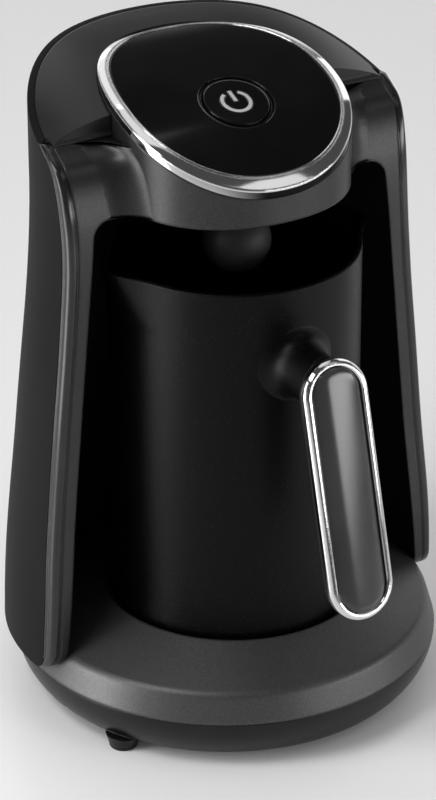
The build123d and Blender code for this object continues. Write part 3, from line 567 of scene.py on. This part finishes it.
def column_radius(z):
    """The foot's radius less the inset, which runs as a cubic between its neighbours in the list:
    value and slope are kept at both ends of each span."""
    inset, level = column_insets.T
    slope = np.gradient(inset, level)
    k = np.clip(np.searchsorted(level, z, side="right") - 1, 0, len(level) - 2)
    h = level[k + 1] - level[k]
    t = (z - level[k]) / h
    start, end = (1 + 2 * t) * (1 - t) ** 2, t * t * (3 - 2 * t)
    leaving, arriving = t * (1 - t) ** 2 * h * slope[k], t * t * (t - 1) * h * slope[k + 1]
    return column_foot_radius - (start * inset[k] + leaving + end * inset[k + 1] + arriving)


def sheet_y(heights):
    """Where the shell's front sheet stands at each height, found by a ray towards +Y beside the rim."""
    shell = frame["nodes"]["front_shell"]
    found = []
    for z in heights:
        x = sqrt((column_radius(z) - rim_depth) ** 2 - sheet_lead ** 2) - beside_rim
        hit, place, normal, face = shell.ray_cast(Vector((x, ray_start_y, z)) / mm, Vector((0, 1, 0)))
        found.append((place.y - axis_y) * mm if hit else if_missed_y)
    return np.array(found)


print("sheet at 30, 100 and 190 mm:", sheet_y([30, 100, 190]).round(1))

# %% [markdown]
# ## Hollow beside the head
# Between the column's wing and the side of the head, the shell runs in a wide smooth hollow. It
# could be a fillet on the solid, but the solids stay as they are here. So it is a strip of its
# own that lies in the corner: at each height an arc of a 14 mm circle that touches the sheet and
# the egg. It sinks 0.06 mm into both, so that its borders hardly show.

# %% Hollow beside the head
hollow_radius, hollow_sink = 14.0, 0.06
hollow_low, hollow_high = 180.6, 201.9
hollow_rows, hollow_steps = 60, 28
egg_ends, egg_steps = 0.02, 1200
buried, buried_less = 0.9, 0.2     # how far the strip's rear lies inside the shell


def hollow(side):
    """The circle's middle stands a radius ahead of the sheet, where that line crosses the egg
    moved outwards by a radius. The arc runs from straight behind the middle to the nearest
    point of the egg, and four points inside the shell close the strip."""
    z = np.linspace(hollow_low, hollow_high, hollow_rows)
    front = sheet_y(z)
    turn = np.linspace(egg_ends, pi - egg_ends, egg_steps)
    half = np.where(np.cos(turn) > 0, head_rear, head_front)
    egg_x = head_half_width * np.sin(turn) ** (2 / head_power)
    egg_y = head_y + half * np.abs(np.cos(turn)) ** (2 / head_power) * np.sign(np.cos(turn))
    along = np.stack([np.gradient(egg_x), np.gradient(egg_y)], -1)
    along /= np.linalg.norm(along, axis=1, keepdims=True)
    away_x, away_y = -along[:, 1], along[:, 0]
    middle_y = front - hollow_radius
    offset_y = (egg_y + hollow_radius * away_y)[::-1]
    middle_x = np.interp(middle_y, offset_y, (egg_x + hollow_radius * away_x)[::-1])
    touch_x = np.interp(middle_y, offset_y, egg_x[::-1])
    touch_y = np.interp(middle_y, offset_y, egg_y[::-1])
    first, last = pi / 2, np.arctan2(touch_y - middle_y, touch_x - middle_x)
    angle = first + (last - first)[:, None] * np.linspace(0, 1, hollow_steps)[None]
    x = middle_x[:, None] + (hollow_radius + hollow_sink) * np.cos(angle)
    y = middle_y[:, None] + (hollow_radius + hollow_sink) * np.sin(angle)
    inner_x = np.stack([touch_x - buried, touch_x - buried, middle_x + buried, middle_x + buried], -1)
    inner_y = np.stack([touch_y - buried, front + buried, front + buried, front + buried_less], -1)
    x, y = np.concatenate([x, inner_x], 1), np.concatenate([y, inner_y], 1)
    return np.stack([side * x, y, np.broadcast_to(z[:, None], x.shape)], -1)


sides = (("left", -1), ("right", 1))
for name, side in sides:
    surface("shoulder_hollow_" + name, "housing", hollow(side), finishes["shell_paint"])

# %% [markdown]
# ## Rims
# A glossy strip wraps each front corner of the column, with a fine groove near both borders that
# leaves a bead of light beside it. Carving the grooves out of the solid would cost many small
# faces. A section with the grooves in it, carried up the corner, needs none that aren't seen.

# %% Rims
# How far ahead of the sheet and how far out from the column's surface, and each corner's radius.
rim_corners = [
    ((-4.15, -0.9), 0.1), ((-4.15, -0.15), 0.08), ((-3.95, 0.0), 0.15), ((-3.5, 0.0), 0.15),
    ((-3.3, -0.3), 0.08), ((-3.0, -0.3), 0.08), ((-2.8, 0.0), 0.15), ((0.0, 0.0), 1.7),
    ((0.0, -2.5), 0.12), ((-0.28, -2.65), 0.08), ((-0.28, -2.9), 0.08), ((0.0, -3.05), 0.1),
    ((0.0, -3.3), 0.1), ((-0.9, -3.35), 0.1)]
rim_section = rounded_loop(*zip(*rim_corners))
rim_heights = np.concatenate([np.linspace(23.2, 31.5, 22), np.linspace(32.5, 202.4, 130)])


def rim(side):
    """At each height, y is the sheet less ahead, and x is where the circle of the column's radius
    plus out meets that y."""
    ahead, out = rim_section[:, 0][None], rim_section[:, 1][None]
    y = sheet_y(rim_heights)[:, None] - ahead
    reach = column_radius(rim_heights)[:, None] + out
    x = np.sqrt(np.maximum(reach ** 2 - (y - column_y) ** 2, 0))
    return np.stack([side * x, y, np.broadcast_to(rim_heights[:, None], x.shape)], -1)


for name, side in sides:
    surface("column_rim_" + name, "housing", rim(side), finishes["rim_gloss"],
            replaces=["side_rim_" + name])

# %% [markdown]
# ## The handle's plane
# The handle leans: its foot stands further from the pot than its top. Its frame and inlay are flat
# things when they are made, so they are drawn in a plane of their own and put in place by one
# function. Their outline is a racetrack: two half circles joined by straight sides.

# %% The handle's plane
handle_length, handle_width = 84.9, 22.9
handle_reach, handle_mid_z, handle_lean = 75.0, 104.6, radians(16.4)
pot_y = -5.5
handle_columns = 360


def on_handle(across, along, depth):
    """From the handle's plane to the pot: across is X, along runs up the leaning handle, and depth
    comes out of its front. Y and Z are along and depth turned by the lean."""
    y = pot_y - handle_reach + along * sin(handle_lean) - depth * cos(handle_lean)
    z = handle_mid_z + along * cos(handle_lean) + depth * sin(handle_lean)
    return np.stack(np.broadcast_arrays(across, y, z), -1)


def racetrack(grow):
    """Even steps along the outline, grown outwards by grow. Round an end, the turn rises by the
    way gone over the radius. Along a side, the run down from the upper end grows by the way gone,
    and along the other side it shrinks again."""
    radius = handle_width / 2 + grow
    straight = handle_length / 2 - handle_width / 2
    side, arc = 2 * straight, pi * radius
    way = np.linspace(0, 2 * side + 2 * arc, handle_columns, endpoint=False)
    stretches = [way < arc, way < arc + side, way < 2 * arc + side]
    turn = np.select(stretches, [way / radius, pi, pi + (way - arc - side) / radius], 2 * pi)
    run = np.select(stretches, [0, way - arc, side], 2 * side + 2 * arc - way)
    return radius * np.cos(turn), straight + radius * np.sin(turn) - run


print("handle", handle_length, "by", handle_width, "mm")

# %% [markdown]
# ## Handle frame
# The frame is a plated casting with a soft outer shoulder and a small step down to the inlay. Its
# section goes round the racetrack in one sweep, so that the highlight runs unbroken.

# %% Handle frame
frame_corners = [(-2.5, -3.4), (-2.5, -0.35), (-1.9, 0.0), (-0.9, -0.1), (0.0, -1.3), (0.0, -3.6)]
frame_section = rounded_loop(frame_corners, [0.1, 0.25, 0.4, 0.7, 0.8, 0.3])


def round_the_handle(section):
    """Carries a section of (grow, depth) pairs round the racetrack."""
    return np.stack([on_handle(*racetrack(grow), depth) for grow, depth in section])


surface("handle_frame_ring", "pot", round_the_handle(frame_section), finishes["chrome"],
        close_rows=True, replaces=["handle_frame"])

# %% [markdown]
# ## Handle inlay
# The inlay is a dark glossy insert whose front is slightly convex across the handle. One big face
# would reflect like a mirror, so it is drawn as racetracks inside each other, each lifted onto a
# drum that lies along the handle, and the outermost one dips at its very edge.

# %% Handle inlay
inlay_inset, inlay_half, inlay_rows = 2.65, 8.75, 40
drum_radius, inlay_lift, edge_dip, inlay_back = 26.0, 0.75, 0.5, -2.9


def inlay_front():
    """Depth is the drum's circle at x, less a dip that grows with the twelfth power of the way to
    the edge. The last row goes straight back into the frame."""
    rows = []
    for share in np.sin(np.linspace(0, pi / 2, inlay_rows)):
        x, y = racetrack(-inlay_inset - inlay_half * (1 - share))
        bulge = inlay_lift - drum_radius + np.sqrt(drum_radius ** 2 - x ** 2)
        rows.append(on_handle(x, y, bulge - edge_dip * share ** 12))
    rows.append(on_handle(*racetrack(-inlay_inset), inlay_back))
    return np.stack(rows)


surface("handle_inlay_glass", "pot", inlay_front(), finishes["inlay_gloss"],
        replaces=["handle_inlay"])

# %% [markdown]
# ## Handle neck
# A neck joins the handle to the pot. It flares out of the pot's side as the bell of a trumpet
# does, then runs nearly straight. A loft between two ovals would narrow evenly, so the width
# follows an exponential, which is steep at the pot and flat soon after.

# %% Handle neck
neck_columns, neck_steps = 96, 34
neck_half_width, flare_width, narrowing = 8.0, 8.5, 0.4
neck_half_height, flare_height, growing = 8.4, 7.0, 2.1
neck_z, neck_fall, flare_share = 134.8, 1.8, 0.13
pot_side, least_side, root_sink = 41.2, 30.0, 0.6
frame_back, spacing_power = 6.4, 1.15


def neck_rows():
    """Ovals of half width 8 + 8.5 f - 0.4 s and half height 8.4 + 7 f + 2.1 s squared, with f the
    flare, exp(-s / 0.13), and s the share of the way from the pot's round side to the leaning
    handle's rear. The ovals stand closer at the pot."""
    share = np.linspace(0, 1, neck_steps)[:, None]
    turn = np.linspace(0, 2 * pi, neck_columns, endpoint=False)[None]
    flare = np.exp(-share / flare_share)
    half_width = neck_half_width + flare_width * flare - narrowing * share
    half_height = neck_half_height + flare_height * flare + growing * share ** 2
    z = neck_z - neck_fall * share + half_height * np.sin(turn)
    x = half_width * np.cos(turn)
    root_y = pot_y - np.sqrt(np.maximum(pot_side ** 2 - x ** 2, least_side ** 2)) + root_sink
    rise = (z - handle_mid_z) * np.tan(handle_lean)
    end_y = pot_y - handle_reach + rise + frame_back / cos(handle_lean)
    y = root_y + (end_y - root_y) * share ** spacing_power
    return np.stack([x, y, z], -1)


surface("handle_neck_flare", "pot", neck_rows(), finishes["pot_coating"],
        replaces=["handle_neck"])

# %% [markdown]
# ## Floor
# The part stands on a pale, slightly glossy table top, which keeps a soft shadow and a faint
# reflection. One large square does.

# %% Floor
floor_half, floor_grey, floor_rough = 4.0, 0.9, 0.25
floor_mesh = bpy.data.meshes.new("floor")
floor_corners = [(x * floor_half, y * floor_half, 0) for x, y in ((-1, -1), (1, -1), (1, 1), (-1, 1))]
floor_mesh.from_pydata(floor_corners, [], [(0, 1, 2, 3)])
floor_mesh.materials.append(finish_of("floor", grey(floor_grey), floor_rough))
floor = bpy.data.objects.new("floor", floor_mesh)
bpy.context.scene.collection.objects.link(floor)
print("floor", 2 * floor_half, "m square")

# %% [markdown]
# ## World
# The camera sees plain white behind the floor. What the part mirrors is another matter: a studio
# is mostly dark with a pale wall behind, and that is what gives gloss its depth. So the world
# tells rays apart: white for the camera, a low bright band at the rear for mirrored rays, and an
# even level for the rest.

# %% World
mirror_dark, mirror_wall, fill_level = 0.08, 0.92, 0.42
band_low, band_high = sin(radians(10)), sin(radians(26))
wall_starts, wall_full = -0.4, 0.1
world = bpy.data.worlds.new("studio")
bpy.context.scene.world = world
world.use_nodes = True
tree = world.node_tree
background = tree.nodes["Background"]
background.inputs["Color"].default_value = (1, 1, 1, 1)
sky = Link(tree)
camera_sees, glossy, through = [
    sky.make("ShaderNodeLightPath", output="Is %s Ray" % kind)
    for kind in ("Camera", "Glossy", "Transmission")]
mirrored = glossy.math("MAXIMUM", through)
direction = sky.make("ShaderNodeTexCoord", output="Generated")
height, depth = [sky.make("ShaderNodeSeparateXYZ", {}, {"Vector": direction}, axis) for axis in "ZY"]
rise, behind = height.smooth(band_low, band_high), depth.smooth(wall_starts, wall_full)
picture = mirror_dark + behind * (1 - rise) * mirror_wall
strength = camera_sees + (1 - camera_sees) * (mirrored * picture + (1 - mirrored) * fill_level)
tree.links.new(strength.socket, background.inputs["Strength"])
print("world: wall", mirror_wall, "fill", fill_level)

# %% [markdown]
# ## Lamps
# A bulb would be mirrored as a dot, so soft boxes stand round the part, each to draw one broad
# reflection: long ones at the left for the panel and the pot, a low wide one at the right for the
# handle's inlay, and dim ones behind and above for the chrome ring. Each is placed by its angle
# round the part, so it is plain which surface it serves.

# %% Lamps
def softbox(name, turn, height, reach, size, level):
    """A glowing panel at an angle from the front towards +X. Level is how bright it looks, white
    being 1, so its power is level times pi times its area."""
    place = Vector((reach * sin(radians(turn)), -reach * cos(radians(turn)), height))
    lamp = bpy.data.lights.new(name, "AREA")
    lamp.shape = "RECTANGLE"
    lamp.size, lamp.size_y = size
    lamp.energy = level * pi * size[0] * size[1]
    thing = bpy.data.objects.new(name, lamp)
    bpy.context.scene.collection.objects.link(thing)
    thing.visible_camera = False
    look = (place - Vector((0, 0, aim_z))).normalized()
    thing.matrix_world = Matrix.Translation(place) @ look.to_track_quat("Z", "Y").to_matrix().to_4x4()
    print(name, "at", turn, "degrees, level", level)


# Name, angle, height and reach in metres, width and height of the panel, level.
for lamp_row in (
    ("left", -98, 0.36, 0.9, (0.3, 0.7), 6.0),
    ("left_low", -95, 0.08, 0.9, (0.4, 0.14), 6.0),
    ("left_high", -80, 0.95, 0.6, (0.4, 0.3), 9.0),
    ("left_near", -97, 0.05, 0.33, (0.2, 0.08), 3.0),
    ("right_low", 39, 0.17, 0.95, (0.9, 0.12), 8.5),
    ("right_back", 120, 0.65, 0.85, (0.35, 0.45), 1.4),
    ("right_high", 33, 0.95, 0.75, (0.45, 0.4), 0.9),
    ("back", 172, 0.75, 0.75, (0.35, 0.9), 1.05),
    ("top", 150, 1.2, 0.25, (0.5, 0.5), 0.9),
):
    softbox(*lamp_row)
bpy.context.scene.view_settings.view_transform = "Standard"

# %% [markdown]
